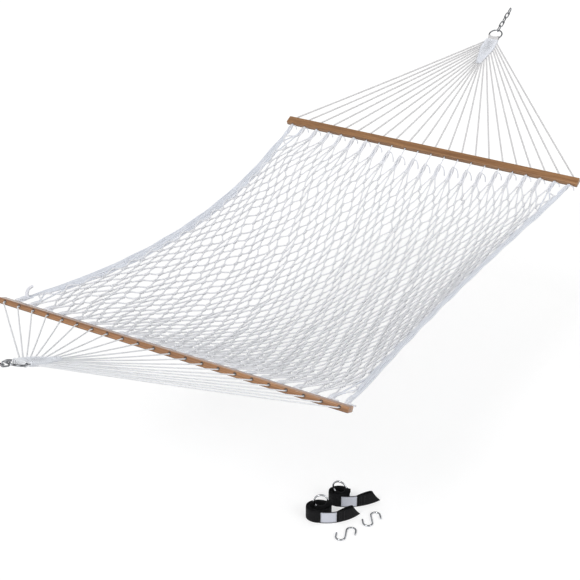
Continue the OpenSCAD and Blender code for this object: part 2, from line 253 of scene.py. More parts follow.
def ropeMaterial(name, look):  # laid strands follow the rope's UVs, with yarns and soft stains over them; the grooves between strands and yarns take the darker groove colour as painted shade
    values = {"Roughness": look["roughness"], "Sheen Weight": look["sheen"]}
    material, tree, shader = startMaterial(name, **values)
    around, along, _ = uvParts(tree)
    strandTurn = math2(tree, "MULTIPLY", around, ropeGrain["strands"] * math.pi)
    ridge = math2(tree, "ABSOLUTE", math2(tree, "COSINE", strandTurn))
    yarnTurn = math2(tree, "SUBTRACT", math2(tree, "MULTIPLY", around, ropeGrain["yarns"] * math.pi),
                     math2(tree, "MULTIPLY", along, ropeGrain["yarnSlant"] * math.pi))
    yarn = math2(tree, "ABSOLUTE", math2(tree, "SINE", yarnTurn))
    place = objectPlace(tree)
    ropeStainBarShade = spread(tree, noise(tree, place, ropeGrain["stains"]), 0.35, 0.65, ropeGrain["stained"], 1.0)
    # painted shade: the colour falls from the strand colour on the crowns to the groove colour in the
    # grooves
    tone = math2(tree, "MULTIPLY", sumOf(tree, ridge, 0.75, yarn, 0.25), ropeStainBarShade)
    tree.links.new(blendColours(tree, tone, look["groove"], look["strand"]), shader.inputs["Base Color"])
    height = sumOf(tree, yarn, 0.5, noise(tree, place, ropeGrain["fibres"], 3.0), 0.4)
    bumpInto(tree, shader, height, 0.6, look["relief"])
    return material


def paintedBarShade(tree, look):  # 1 at a bar's holes and along its lower edge: painted shade, dark round each hole and along the bar's shaded lower edge
    x, y, z = addNode(tree, "SeparateXYZ", {0: objectPlace(tree)}).outputs
    across = math2(tree, "PINGPONG", math2(tree, "ADD", x, 0.5 * holePitch), 0.5 * holePitch)
    rise = math2(tree, "SUBTRACT", math2(tree, "MULTIPLY", z, slopeCos),
                 math2(tree, "MULTIPLY", y, look["side"] * slopeSin))
    rise = math2(tree, "SUBTRACT", rise, barAt.z * slopeCos - barAt.y * slopeSin)
    above = math2(tree, "SUBTRACT", rise, look["shadeRise"])
    away = math2(tree, "SQRT", sumOf(tree, across, across, above, above))
    holeShade = spread(tree, away, holes["diameter"] / 2, look["shadeRadius"], 1.0, 0.0)
    low = spread(tree, rise, -0.5 * barHeight, look["edgeShadeHeight"] - 0.5 * barHeight, 1.0, 0.0)
    return math2(tree, "MAXIMUM", holeShade, math2(tree, "MULTIPLY", low, look["edgeShadeShare"]))


woodGrain = {"log": (0.05, 1, 1), "figure": (1.3, 34.0, 34.0), "pores": (9.0, 260.0, 260.0)}


# Oiled hardwood: growth rings about the log's heart, and figure and pores along the bar, with painted shade
# round the holes and along the lower edge
def woodMaterial(name, look):
    values = {"Roughness": look["roughness"], "Coat Weight": look["coat"],
              "Coat Roughness": look["coatRoughness"]}
    material, tree, shader = startMaterial(name, **values)
    log = objectPlace(tree, woodGrain["log"], (0, -look["heart"][0], -look["heart"][1]))
    wave = {"Vector": log, "Scale": look["rings"], "Distortion": 3.0, "Detail": 2.0, "Detail Scale": 0.05}
    rings = addNode(tree, "TexWave", wave, wave_type="RINGS", rings_direction="X").outputs[1]
    figure = noise(tree, objectPlace(tree, woodGrain["figure"]), 2.0, 4.0)
    pores = noise(tree, objectPlace(tree, woodGrain["pores"]), 1.6, 4.0, 0.65)
    tone = math2(tree, "ADD", math2(tree, "MULTIPLY", rings, 0.35),
                 spread(tree, figure, 0.36, 0.64, 0.0, 0.65))
    colour = blendColours(tree, tone, look["dark"], look["light"])
    # painted shade: the wood is darkened round each hole and along the bar's lower edge
    colour = blendColours(tree, paintedBarShade(tree, look), colour, look["ropeStainBarShade"])
    speck = spread(tree, pores, 0.36, 0.52, 0.66, 1.0)
    shade = addNode(tree, "Mix", {0: 1.0, 6: colour, 7: speck}, data_type="RGBA", blend_type="MULTIPLY")
    tree.links.new(shade.outputs[2], shader.inputs["Base Color"])
    bumpInto(tree, shader, pores, 0.3, 0.0003)
    return material


plating = {"clouds": 90.0, "specks": 900.0, "grain": 700.0}


def steelMaterial(name, look):  # plated wire: cloudy bright patches, a fine grain and a few dull specks
    material, tree, shader = startMaterial(name, **{"Metallic": 1.0})
    place = objectPlace(tree)
    cloud = noise(tree, place, plating["clouds"], 4.0)
    speck = spread(tree, noise(tree, place, plating["specks"], 3.0), 0.60, 0.72)
    colour = blendColours(tree, spread(tree, cloud, 0.35, 0.65), look["dull"], look["bright"])
    dirt = blendColours(tree, math2(tree, "MULTIPLY", speck, look["wear"]), (1, 1, 1), look["dull"])
    shade = addNode(tree, "Mix", {0: 1.0, 6: colour, 7: dirt}, data_type="RGBA", blend_type="MULTIPLY")
    tree.links.new(shade.outputs[2], shader.inputs["Base Color"])
    rough = spread(tree, cloud, 0.3, 0.7, look["roughness"] * 1.4, look["roughness"] * 0.7)
    tree.links.new(rough, shader.inputs["Roughness"])
    bumpInto(tree, shader, noise(tree, place, plating["grain"]), 0.25, look["relief"])
    return material


def clothMaterial(name, look):  # fine yarns along the cloth, crossed by a twill; the hollows of the weave take the darker groove colour as painted shade
    values = {"Roughness": look["roughness"], "Sheen Roughness": 0.4, "Sheen Weight": look["sheen"],
              "Specular IOR Level": look["specular"]}
    material, tree, shader = startMaterial(name, **values)
    across, along, _ = uvParts(tree)
    alongTurn = math2(tree, "MULTIPLY", along, 2 * math.pi / look["yarn"])
    acrossTurn = math2(tree, "MULTIPLY", across, 2 * math.pi / look["yarn"])
    twill = math2(tree, "SINE", math2(tree, "ADD", alongTurn, math2(tree, "MULTIPLY", acrossTurn, 0.5)))
    height = sumOf(tree, twill, 0.5, math2(tree, "SINE", acrossTurn), 0.5)
    share = math2(tree, "ADD", math2(tree, "MULTIPLY", height, 0.5), 0.5)
    worn = spread(tree, noise(tree, objectPlace(tree), 60.0, 3.0), 0.35, 0.7, 0.75, 1.0)
    share = math2(tree, "MULTIPLY", share, worn)
    # painted shade: the groove colour where the weave is low, the yarn colour where it is high
    colour = blendColours(tree, share, look["groove"], look["yarnColour"])
    tree.links.new(colour, shader.inputs["Base Color"])
    bumpInto(tree, shader, height, 0.6, look["relief"])
    return material


# each groove colour below is painted shade, laid in the hollows between a rope's strands and yarns or a
# cloth's threads
looks = {
    "net": {"strand": (0.90, 0.905, 0.93), "groove": (0.70, 0.71, 0.75), "roughness": 0.85, "sheen": 0.1,
            "relief": 0.0003},
    # the near and far clew looks are one rope: painted light makes the near cords lighter, painted shade
    # makes the far cords darker
    "nearClew": {"strand": (0.96, 0.97, 0.99), "groove": (0.87, 0.89, 0.93), "roughness": 0.8, "sheen": 0.1,
                 "relief": 0.0002},
    "farClew": {"strand": (0.75, 0.743, 0.75), "groove": (0.56, 0.554, 0.562), "roughness": 0.8,
                "sheen": 0.1, "relief": 0.0003},
    # the knot look is the net rope with lighter grooves against the knots' self-shadow, as painted light,
    # and a bluish tint, as painted shade
    "knot": {"strand": (0.87, 0.885, 0.93), "groove": (0.76, 0.775, 0.835), "roughness": 0.85, "sheen": 0.1,
             "relief": 0.0003},
    "selvage": {"strand": (0.80, 0.83, 0.89), "groove": (0.70, 0.725, 0.79), "roughness": 0.8,
                "sheen": 0.15, "relief": 0.0002},
    "woven": {"strand": (0.88, 0.905, 0.95), "groove": (0.78, 0.80, 0.86), "roughness": 0.8, "sheen": 0.15,
              "relief": 0.0002},
    # in the wood looks, the dark colour, its reach round the holes and its band along the lower edge are
    # painted shade
    "nearWood": {"light": (0.44, 0.20, 0.066), "dark": (0.23, 0.092, 0.026), "roughness": 0.5,
                 "coat": 0.95, "coatRoughness": 0.24, "rings": 42.0, "heart": (-1.03, 0.71), "side": -1,
                 "ropeStainBarShade": (0.03, 0.013, 0.006), "shadeRadius": 0.0082, "shadeRise": 0.0022,
                 "edgeShadeHeight": 0.005, "edgeShadeShare": 0.55},
    "farWood": {"light": (0.42, 0.215, 0.088), "dark": (0.245, 0.110, 0.038), "roughness": 0.5,
                "coat": 0.35, "coatRoughness": 0.3, "rings": 42.0, "heart": (1.06, 0.70), "side": 1,
                "ropeStainBarShade": (0.05, 0.026, 0.012), "shadeRadius": 0.0068, "shadeRise": 0.0,
                "edgeShadeHeight": 0.0095, "edgeShadeShare": 0.95},
    "zinc": {"bright": (0.40, 0.41, 0.43), "dull": (0.14, 0.145, 0.155), "wear": 0.6, "roughness": 0.26,
             "relief": 0.0001},
    "chrome": {"bright": (0.64, 0.65, 0.67), "dull": (0.40, 0.41, 0.43), "wear": 0.4, "roughness": 0.07,
               "relief": 0.00002},
    "webbing": {"groove": (0.002, 0.002, 0.0025), "yarnColour": (0.007, 0.007, 0.0085), "yarn": 0.0016,
                "roughness": 0.75, "sheen": 0.03, "relief": 0.0004, "specular": 0.18},
    "label": {"groove": (0.58, 0.60, 0.68), "yarnColour": (0.80, 0.82, 0.90), "yarn": 0.0009,
              "roughness": 0.42, "sheen": 0.2, "relief": 0.0001, "specular": 0.5},
    "thread": {"groove": (0.012, 0.012, 0.014), "yarnColour": (0.05, 0.05, 0.055), "yarn": 0.0009,
               "roughness": 0.5, "sheen": 0.1, "relief": 0.0001, "specular": 0.4},
}
netRope = ropeMaterial("netRope", looks["net"])
# the knots use a copy of the net rope, recoloured with painted light and painted shade
knotRopeLightenedForShade = ropeMaterial("knotRopeLightenedForShade", looks["knot"])
# one clew rope in a lighter near copy and a darker far copy: painted light and painted shade
clewRopeLitNearShadedFar = {end: ropeMaterial(end + "ClewRope", looks[end + "Clew"]) for end in ends}
selvageRope = ropeMaterial("selvageRope", looks["selvage"])
wovenRope = ropeMaterial("wovenRope", looks["woven"])
wood = {end: woodMaterial(end + "Wood", looks[end + "Wood"]) for end in ends}
zinc = steelMaterial("zincSteel", looks["zinc"])
chrome = steelMaterial("brightSteel", looks["chrome"])
webbing = clothMaterial("blackWebbing", looks["webbing"])
labelCloth = clothMaterial("labelCloth", looks["label"])
thread = clothMaterial("sewingThread", looks["thread"])
print("materials made")


# Ropes, all swept the same way
def smoothed(points, passes=1):
    points = np.array(points, float)
    for _ in range(passes):
        points[1:-1] = (points[:-2] + 2 * points[1:-1] + points[2:]) / 4
    return points


def curve(points, count):  # a smooth line through a few points
    points = np.asarray(points, float)
    padded = np.vstack([2 * points[0] - points[1], points, 2 * points[-1] - points[-2]])
    made = []
    for k in range(len(points) - 1):
        a, b, c, d = padded[k:k + 4]
        for s in np.linspace(0, 1, count, endpoint=False):
            made.append(0.5 * (2 * b + (c - a) * s + (2 * a - 5 * b + 4 * c - d) * s ** 2
                               + (3 * b - a - 3 * c + d) * s ** 3))
    return np.array(made + [points[-1]])


def lengths(points):
    return np.concatenate([[0], np.cumsum(np.linalg.norm(np.diff(points, axis=0), axis=1))])


def placesAt(line, wanted):  # places at given lengths along a line
    run = lengths(line)
    return np.stack([np.interp(wanted, run, values) for values in line.T], -1)


def evenly(points, step):  # the same line with points at even steps
    points = np.asarray(points, float)
    total = lengths(points)[-1]
    return placesAt(points, np.linspace(0, total, max(3, round(total / step) + 1)))


def fanned(count, sides):  # the two ends of a tube, each a fan about a point
    k = np.arange(sides)
    n = (k + 1) % sides
    far = (count - 1) * sides
    first = np.stack([n, k, np.full(sides, count * sides)], -1)
    last = np.stack([far + k, far + n, np.full(sides, count * sides + 1)], -1)
    return np.vstack([first, last])


def tube(points, diameter, lay=0.018, sides=6, groove=0.16):  # a laid rope: the strands wind round it
    points = np.asarray(points, float)
    count = len(points)
    radius = np.broadcast_to(np.asarray(diameter, float) / 2, count)
    run = unit(np.gradient(points, axis=0))
    side = np.cross(run[0], (0, 0, 1.0))
    if np.linalg.norm(side) < 0.1:
        side = np.cross(run[0], (1.0, 0, 0))
    sideways = np.empty_like(points)
    for i in range(count):
        side = side - run[i] * (side @ run[i])
        side /= np.linalg.norm(side)
        sideways[i] = side
    up = np.cross(run, sideways)
    length = lengths(points)
    angle = 2 * np.pi * (np.arange(sides) / sides + length[:, None] / lay)
    reach = radius[:, None] * (1 - groove * (np.arange(sides) % 2))
    ring = (points[:, None] + (reach * np.cos(angle))[..., None] * sideways[:, None]
            + (reach * np.sin(angle))[..., None] * up[:, None])
    tips = [points[0] - run[0] * radius[0] / 2, points[-1] + run[-1] * radius[-1] / 2]
    corners = np.vstack([ring.reshape(-1, 3), tips])
    i, k = np.meshgrid(np.arange(count - 1), np.arange(sides), indexing="ij")
    n = (k + 1) % sides
    here, ahead = i * sides, (i + 1) * sides
    walls = np.stack([here + k, here + n, ahead + n, ahead + k], -1).reshape(-1, 4)
    share = np.stack([k, k + 1, k + 1, k], -1).reshape(-1, 4) / sides
    turns = np.stack([length[i], length[i], length[i + 1], length[i + 1]], -1).reshape(-1, 4) / lay
    capUv = np.zeros((2 * sides, 3, 2))
    capUv[..., 0] = np.tile(np.arange(sides) / sides, 2)[:, None]
    capUv[sides:, :, 1] = length[-1] / lay
    return corners, walls, np.stack([share, turns], -1), fanned(count, sides), capUv


def meshOf(name, parts):  # one object from many ropes or cloths
    corners, quads, tris, quadUvs, triUvs = [], [], [], [], []
    start = 0
    for points, walls, wallUv, caps, capUv in parts:
        corners.append(points)
        quads.append(walls + start)
        quadUvs.append(wallUv.reshape(-1, 2))
        tris.append(caps + start)
        triUvs.append(capUv.reshape(-1, 2))
        start += len(points)
    faces = np.concatenate(quads).tolist() + np.concatenate(tris).tolist()
    mesh = bpy.data.meshes.new(name)
    mesh.from_pydata(np.concatenate(corners).tolist(), [], faces)
    uvs = np.concatenate(quadUvs + triUvs).astype(np.float32)
    mesh.uv_layers.new(name="UVMap").data.foreach_set("uv", uvs.ravel())
    mesh.polygons.foreach_set("use_smooth", [True] * len(mesh.polygons))
    mesh.update()
    made = bpy.data.objects.new(name, mesh)
    scene.collection.objects.link(made)
    return made


def paint(piece, material):
    piece.data.materials.clear()
    piece.data.materials.append(material)


def finishPiece(piece, material, slot, body, *nodes):  # nodes are the CAD solids the piece stands in for
    paint(piece, material)
    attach(piece, body)
    if nodes:
        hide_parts(*nodes)


# Spreader bars, tilted in the slope of their clews
spreaderBar = {"round": 0.0032, "roundSteps": 3, "holeSides": 20}


def makeBar(end):  # an eased bar with its holes drilled along the slope
    side = ends[end]
    place = (0, side * barAt.y, barAt.z)
    tilt = side * slopeAngle
    bpy.ops.mesh.primitive_cube_add(size=1, location=place, rotation=(tilt, 0, 0),
                                    scale=(barLength, barDepth, barHeight))
    bar = bpy.context.object
    bar.name = end + "SpreaderBar"
    bpy.ops.object.transform_apply(location=True, rotation=True, scale=True)
    ease = bar.modifiers.new("ease", "BEVEL")
    ease.width = spreaderBar["round"]
    ease.segments = spreaderBar["roundSteps"]
    bpy.ops.object.modifier_apply(modifier="ease")
    drills = []
    for x in holeX:
        bpy.ops.mesh.primitive_cylinder_add(vertices=spreaderBar["holeSides"], radius=holes["diameter"] / 2,
                                            depth=2 * barDepth, location=(x, place[1], place[2]),
                                            rotation=(math.pi / 2 + tilt, 0, 0))
        drills.append(bpy.context.object)
    for drill in drills:
        drill.select_set(True)
    bpy.context.view_layer.objects.active = drills[0]
    bpy.ops.object.join()
    drill = bpy.context.object
    bpy.ops.object.select_all(action="DESELECT")
    bar.select_set(True)
    bpy.context.view_layer.objects.active = bar
    cut = bar.modifiers.new("holes", "BOOLEAN")
    cut.object = drill
    cut.operation = "DIFFERENCE"
    cut.solver = "EXACT"
    bpy.ops.object.modifier_apply(modifier="holes")
    bpy.data.objects.remove(drill)
    bpy.ops.object.shade_smooth_by_angle(angle=math.radians(30))
    bar.select_set(False)
    finishPiece(bar, wood[end], "wood", "hammock", end + "_spreader_bar")


for end in ends:
    makeBar(end)
print("spreader bars made")


# The net: strands that wind round each other wherever two of them meet
net = {
    "rope": 0.0069, "lay": 0.02, "step": 0.0034, "strands": 76, "selvageCords": 6, "rows": 31,
    "firstGap": 0.012, "twist": 0.029, "firstTwist": 0.036, "twistTurns": 1.5, "twistRadius": 0.0046,
    "twistSteps": 9, "evenTo": 0.3, "edgeCrowding": 0.045, "slackDownRight": 0.75, "slackDownLeft": 0.36,
    "jitter": 0.09, "rowJitter": 0.003, "calmStrands": 6, "calmRows": 3, "settleRows": 5,
    "selvageHalf": 0.0165, "selvageLift": (0.002, 0.0045, 0.002), "pieces": 4,
}
knots = {
    "cord": 0.0058, "rope": 0.0062, "step": 0.003, "inHole": 0.012, "neck": 0.034, "neckEnd": 0.002,
    "neckSpare": 0.016, "longestNeck": 11.8, "longNecks": 5.5, "nearNeck": 0.010, "start": 0.004,
    "cordEnd": 0.024, "body": 0.074, "atNeck": 0.0024, "bodySpread": 0.0048, "bodyTwist": 2.6,
    "sideBySide": 0.0062, "underKnot": 0.024, "betweenKnots": 0.062, "wraps": 8, "wrapStart": 0.003,
    "wrapLength": 0.056, "wrapLean": 0.0015, "wrapWander": 0.15, "wrapFlatness": 0.85, "rightHanded": 0.85,
    "nearWrap": 0.0076, "farWrap": 0.0064,
}
lastStrand = net["strands"] - 1
slackA = rng.uniform(-net["slackDownRight"], net["slackDownRight"], net["strands"] + net["rows"])
slackB = rng.uniform(-net["slackDownLeft"], net["slackDownLeft"], net["strands"] + net["rows"])
nodeJitter = rng.normal(0, 1, (net["rows"], net["strands"] + 1, 2))
fromLongest = (np.arange(holes["count"]) - knots["longestNeck"]) / knots["longNecks"]
neckShare = np.maximum(0, 1 - fromLongest ** 2)
spare = knots["neckSpare"] * rng.uniform(-0.5, 1, (2, holes["count"]))
necks = {-1: knots["nearNeck"] + spare[0] / 2, 1: knots["neckEnd"] + neckShare * (knots["neck"] + spare[1])}
firstRow = knots["neck"] / 2 + knots["body"] + (knots["underKnot"] + knots["betweenKnots"]) / 2
rowY = np.linspace(firstRow + net["firstGap"], bed["span"] - firstRow - net["firstGap"], net["rows"])
rowY[[0, -1]] = firstRow, bed["span"] - firstRow


def strandU(place, t):  # where a strand lies across the bed: even at the bars, crowded at the edges
    v = 2 * place / lastStrand - 1
    atBar = v * lastStrand * holePitch / 8 / bed["halfWidth"]
    reach = 1 - net["selvageHalf"] / (bed["halfWidth"] * (1 - bed["waist"] * 4 * t * (1 - t)))
    atMiddle = reach * (v * (1 + net["edgeCrowding"]) - net["edgeCrowding"] * v ** 9)
    away = np.minimum(1.0, np.minimum(t, 1 - t) * bed["span"] / net["evenTo"])
    away = away * away * (3 - 2 * away)
    return atBar + (atMiddle - atBar) * away


def nodePlace(row, left):  # the middle of the twist that joins the strands at left and left + 1
    fromEnd = min(row, net["rows"] - 1 - row)
    side = -1 if row < net["rows"] / 2 else 1
    knot, place = divmod(left + net["selvageCords"], 4)
    last = holes["count"] - 1
    if place == 1:
        reach = necks[side][knot] + knots["body"] + knots["underKnot"]
    else:
        reach = (necks[side][knot] + necks[side][min(knot + 1, last)]) / 2 + knots["body"]
        reach += knots["betweenKnots"] if place == 3 else (knots["underKnot"] + knots["betweenKnots"]) / 2
    jitter = nodeJitter[row, left]
    settling = max(0, 1 - fromEnd / net["settleRows"])
    y = rowY[row] + net["rowJitter"] * jitter[1] - side * (reach - firstRow) * settling
    t = y / bed["span"]
    fromEdge = min(left, net["strands"] - 2 - left)
    calm = min(1.0, fromEdge / net["calmStrands"], fromEnd / net["calmRows"])
    slack = slackA[(left + row + 1) // 2] + slackB[(left - row + 1) // 2 + net["rows"] // 2]
    pitch = strandU(left + 1, t) - strandU(left, t)
    return t, pitch * max(0, calm) * (slack / 2 + net["jitter"] * jitter[0])


def knotPoint(knot, side, distance, across=0.0, lift=0.0):  # on a knot's line from its hole to the net
    t = distance / bed["span"]
    u = holeX[knot] / bed["halfWidth"]
    if 0 < knot < holes["count"] - 1:
        u = strandU(4 * knot + 1.5 - net["selvageCords"], t)
    return bedPlace(u, 1 - t if side > 0 else t, across, lift)


def strandInKnot(strand, side):  # a strand's points in its knot, from the net side back to the neck
    knot, place = divmod(strand, 4)
    neck = necks[side][knot]
    made = []
    for share in (1.0, 0.85, 0.7, 0.55, 0.4, 0.25, 0.1, 0.0):
        angle = math.pi * (0.25 + 0.5 * place) + knots["bodyTwist"] * (1 - share)
        reach = knots["atNeck"] + knots["bodySpread"] * math.sin(math.pi * min(1, share * 1.05)) ** 0.7
        flat = share ** 3  # they lie side by side where they leave for the net
        across = reach * math.cos(angle) * (1 - flat) + (place - 1.5) * knots["sideBySide"] * flat
        lift = reach * math.sin(angle) * (1 - flat)
        along = neck + knots["start"] + (knots["body"] - knots["start"]) * share
        made.append(knotPoint(knot, side, along, across, lift))
    return made


def strandPath(start):  # from a near knot to a far one, left and right by turns at every row
    place = start
    points = list(reversed(strandInKnot(start + net["selvageCords"], -1)))
    theta = np.linspace(0, math.pi * 2 * net["twistTurns"], net["twistSteps"])
    for row in range(net["rows"]):
        atEnd = row in (0, net["rows"] - 1)
        length = net["firstTwist"] if atEnd else net["twist"]
        along = (np.linspace(0, 1, net["twistSteps"]) - 0.5) * length / bed["span"]
        isLeft = (place - row) % 2 == 1
        left = place if isLeft else place - 1
        if left < 0 or left + 1 > lastStrand:  # round the selvage
            t = nodePlace(row, max(0, left - 1))[0]
            u = math.copysign(1 - 0.5 * net["selvageHalf"] / bed["halfWidth"], left)
            points += list(bedPlace(np.full(3, u), t + along[[0, net["twistSteps"] // 2, -1]],
                                    np.zeros(3), net["selvageLift"]))
            continue
        t, shift = nodePlace(row, left)
        u = (strandU(left, t + along) + strandU(left + 1, t + along)) / 2 + shift
        sense = -1 if isLeft else 1
        over = 1 if (left // 2 + row) % 2 else -1
        points += list(bedPlace(u, t + along, sense * net["twistRadius"] * np.cos(theta),
                                sense * over * net["twistRadius"] * np.sin(theta)))
        place = place + 1 if isLeft else place - 1
    return points + strandInKnot(place + net["selvageCords"], 1)


def makeNet():
    parts = [[] for _ in range(net["pieces"])]
    for start in range(net["strands"]):
        path = smoothed(evenly(strandPath(start), net["step"]), 2)
        parts[start * net["pieces"] // net["strands"]].append(tube(path, net["rope"], net["lay"]))
    for number, tubes in enumerate(parts):
        piece = meshOf(f"bedNet{number + 1}", tubes)
        finishPiece(piece, netRope, "rope", "hammock", *(["bed_net"] if number == 0 else []))


makeNet()
print("net made")


# Selvages: six cords gathered side by side along each edge
selvage = {
    "cord": 0.0067, "lay": 0.022, "groove": 0.06, "step": 0.005, "spacing": 0.0056, "steps": 110,
    "joins": (0.045, 0.045, 0.045, 0.045, 0.072, 0.115), "gathered": 0.45, "opening": 12,
    "wander": 0.0010, "acrossWaves": 9, "liftShare": 1.4, "liftWaves": 11, "fall": 0.0016, "lift": 0.002,
}


def makeSelvage(name, side):
    tubes = []
    centre = (net["selvageCords"] - 1) / 2
    for cord in range(net["selvageCords"]):
        joins = selvage["joins"][cord]
        t = np.linspace(joins, 1 - joins, selvage["steps"])
        phase = rng.uniform(0, 2 * math.pi, 2)
        fromKnot = np.minimum(t, 1 - t) - selvage["joins"][0]
        gather = np.minimum(1, selvage["gathered"] + selvage["opening"] * fromKnot)
        across = side * (centre - cord) * selvage["spacing"] * gather
        across = across + selvage["wander"] * np.sin(2 * math.pi * selvage["acrossWaves"] * t + phase[0])
        wave = np.sin(2 * math.pi * selvage["liftWaves"] * t + phase[1])
        lift = selvage["wander"] * selvage["liftShare"] * wave
        lift = lift - selvage["fall"] * abs(cord - centre) + selvage["lift"]
        middlePart = bedPlace(np.full(len(t), float(side)), t, across, lift)
        strand = cord if side < 0 else 4 * holes["count"] - 1 - cord
        first = list(reversed(strandInKnot(strand, -1)))
        path = smoothed(evenly(first + list(middlePart) + strandInKnot(strand, 1), selvage["step"]), 4)
        tubes.append(tube(path, selvage["cord"], selvage["lay"], groove=selvage["groove"]))
    piece = meshOf(name + "Selvage", tubes)
    finishPiece(piece, selvageRope, "woven_rope", "hammock", name + "_edge_rope")


makeSelvage("left", -1)
makeSelvage("right", 1)
print("selvages made")


# Knots between the bars and the net: a neck from the hole, a wrapped body and a loose tail
tail = {
    "length": 0.042, "shortest": 0.35, "start": 0.006, "out": 0.004, "bow": 0.024, "fall": 0.010,
    "nearReach": 0.7, "farReach": 0.85, "wave": 0.004, "tuft": 0.017, "tuftEnd": 0.0105,
    "tuftStart": 0.7, "tuftHeight": 0.044, "tuftLean": 0.016, "tuftCurl": 0.003,
}


def knotTail(knot, side, length):
    firstKnot = side < 0 and knot == 0  # its tail stands up beside the selvage
    start = tail["tuftStart"] * knots["body"] if firstKnot else tail["start"]
    top = knotPoint(knot, side, necks[side][knot] + start)
    places = []
    for s in (0, 0.2, 0.4, 0.6, 0.8, 1.0):
        out = tail["out"] + tail["bow"] * math.sin(1.5 * s)
        if firstKnot:
            move = (tail["tuftLean"] * s ** 4 - tail["tuftCurl"] * math.sin(3 * s),
                    tail["tuftLean"] * s ** 2, tail["tuftHeight"] * s)
        elif side < 0:
            move = (out, length * tail["nearReach"] * s, tail["start"] - tail["fall"] * s)
        else:
            down = tail["wave"] * math.sin(3.1 * s) - length * tail["farReach"] * s ** 1.8
            move = (out, -tail["fall"] * s, down)
        places.append(top + np.array(move))
    line = evenly(curve(places, 4), knots["step"])
    return tube(line, np.linspace(tail["tuft"], tail["tuftEnd"], len(line)) if firstKnot else knots["cord"])


def makeKnots(end):
    side = ends[end]
    tubes = []
    for knot in range(holes["count"]):
        neck = necks[side][knot]
        handed = 1 if rng.uniform() < knots["rightHanded"] else -1
        inside = slopePoint(holeX[knot], -barDepth / 2 + knots["inHole"], 0, side)
        mouth = slopePoint(holeX[knot], -barDepth / 2, 0, side)
        distances = (knots["start"], neck + knots["start"], neck + knots["cordEnd"])
        line = [inside, mouth] + [knotPoint(knot, side, distance) for distance in distances]
        tubes.append(tube(evenly(curve(line, 4), knots["step"]), knots["cord"]))
        lean = rng.uniform(0.8, 1.2)
        places = []
        for share in np.linspace(0, 1, 10 * knots["wraps"]):
            a = share * knots["wraps"] * 2 * math.pi
            reach = knots[end + "Wrap"] * (0.5 + 0.5 * math.sin(math.pi * min(1, 0.16 + 0.84 * share)))
            along = neck + knots["wrapStart"] + knots["wrapLength"] * share
            along += knots["wrapLean"] * math.cos(a) * lean
            across = reach * math.cos(handed * a) * (1 + knots["wrapWander"] * math.sin(a * 0.7))
            lift = reach * knots["wrapFlatness"] * math.sin(handed * a)
            places.append(knotPoint(knot, side, along, across, lift))
        tubes.append(tube(smoothed(places), knots["rope"]))
        fullness = tail["shortest"] + (1 - tail["shortest"]) * min(1, 2 * neckShare[knot])
        length = tail["length"] * rng.uniform(0.8, 1.2) * fullness
        tubes.append(knotTail(knot, side, length))
    piece = meshOf(end + "NetKnots", tubes)
    finishPiece(piece, knotRopeLightenedForShade, "rope", "hammock", end + "_net_knots")


for end in ends:
    makeKnots(end)
print("knots made")


# Clews: eleven cords at each end, from a hole to the ring, round it and back to the next hole
clew = {
    "nearCord": 0.0050, "farCord": 0.0078, "lay": 0.017, "step": 0.0024, "inHole": 0.006,
    "mouthInset": 0.001, "sag": 0.003, "spanSteps": 12, "column": 0.0043, "layer": 0.0027,
    "leaveShare": 0.25, "ringRadius": 0.02975, "ringWire": 0.0065, "ringGap": 0.0002, "loopTurn": 0.7,
    "loopSteps": 11, "headStart": 0.004, "headLength": 0.184, "shoulder": 0.022, "shoulderHalf": 0.029,
    "widest": 0.070, "headHalf": 0.0315, "tipHalf": 0.0075,
}
weft = {
    "cord": 0.0050, "lay": 0.012, "start": 0.010, "end": 0.014, "pitch": 0.0047, "steps": 44, "out": 0.0004,
    "bow": 0.003, "lift": 0.0058, "wave": 0.0011, "waves": 13, "flatness": 0.4,
}
middleColumn = (holes["count"] // 2 - 1) // 2


def headHalf(down):  # the woven head's half width, at a distance back from the ring's middle
    start = clew["ringRadius"]
    topHalf = middleColumn * clew["column"] + clew["farCord"] / 2
    places = [start, start + clew["shoulder"], start + clew["widest"], start + clew["headLength"]]
    halves = [topHalf, clew["shoulderHalf"], clew["headHalf"], clew["tipHalf"]]
    return float(np.interp(down, places, halves))


def clewCord(hole, column, layer, side):  # from the hole to the top of the head, beside the ring
    share = 1 - (abs(hole - (holes["count"] - 1) / 2) - 0.5) / (holes["count"] / 2 - 1)
    widest = clew["ringRadius"] + clew["shoulder"]
    down = widest + (clew["headLength"] - clew["shoulder"]) * share
    x = math.copysign(headHalf(down) - clew["farCord"] / 2, hole - (holes["count"] - 1) / 2)
    top = (column - middleColumn) * clew["column"]
    inside = slopePoint(holeX[hole], -barDepth / 2 + clew["inHole"], 0, side)
    mouth = slopePoint(holeX[hole], barDepth / 2 - clew["mouthInset"], 0, side)
    bend = slopePoint(holeX[hole], barDepth / 2 + clew["farCord"], 0, side)
    leave = slopePoint(x, clewLength - down, layer * clew["layer"] * clew["leaveShare"], side)
    shares = np.linspace(0, 1, clew["spanSteps"] + 1)[1:, None]
    slack = np.array([0, 0, 4 * clew["sag"]]) * shares * (1 - shares)
    points = [inside, mouth, bend, *(bend * (1 - shares) + leave * shares - slack)]
    for s in (0.25, 0.5, 0.75, 1.0):
        height = down + (clew["ringRadius"] + clew["headStart"] - down) * s
        points.append(slopePoint(x + (top - x) * s, clewLength - height, layer * clew["layer"], side))
    return points


def weftRow(row, side):  # one row woven across the head, front and back, over one cord and under the next
    down = clew["ringRadius"] + weft["start"] + row * weft["pitch"]
    half = headHalf(down) + weft["out"]
    points = []
    for a in np.linspace(0, 2 * math.pi, weft["steps"], endpoint=False):
        lift = weft["lift"] + weft["wave"] * math.cos(weft["waves"] * math.cos(a) + math.pi * row)
        lift = lift * np.sign(math.sin(a)) * abs(math.sin(a)) ** weft["flatness"]
        along = clewLength - down - weft["bow"] * math.sin(a)
        points.append(slopePoint(half * math.cos(a), along, lift, side))
    return tube(np.array(points + points[:2]), weft["cord"], weft["lay"])


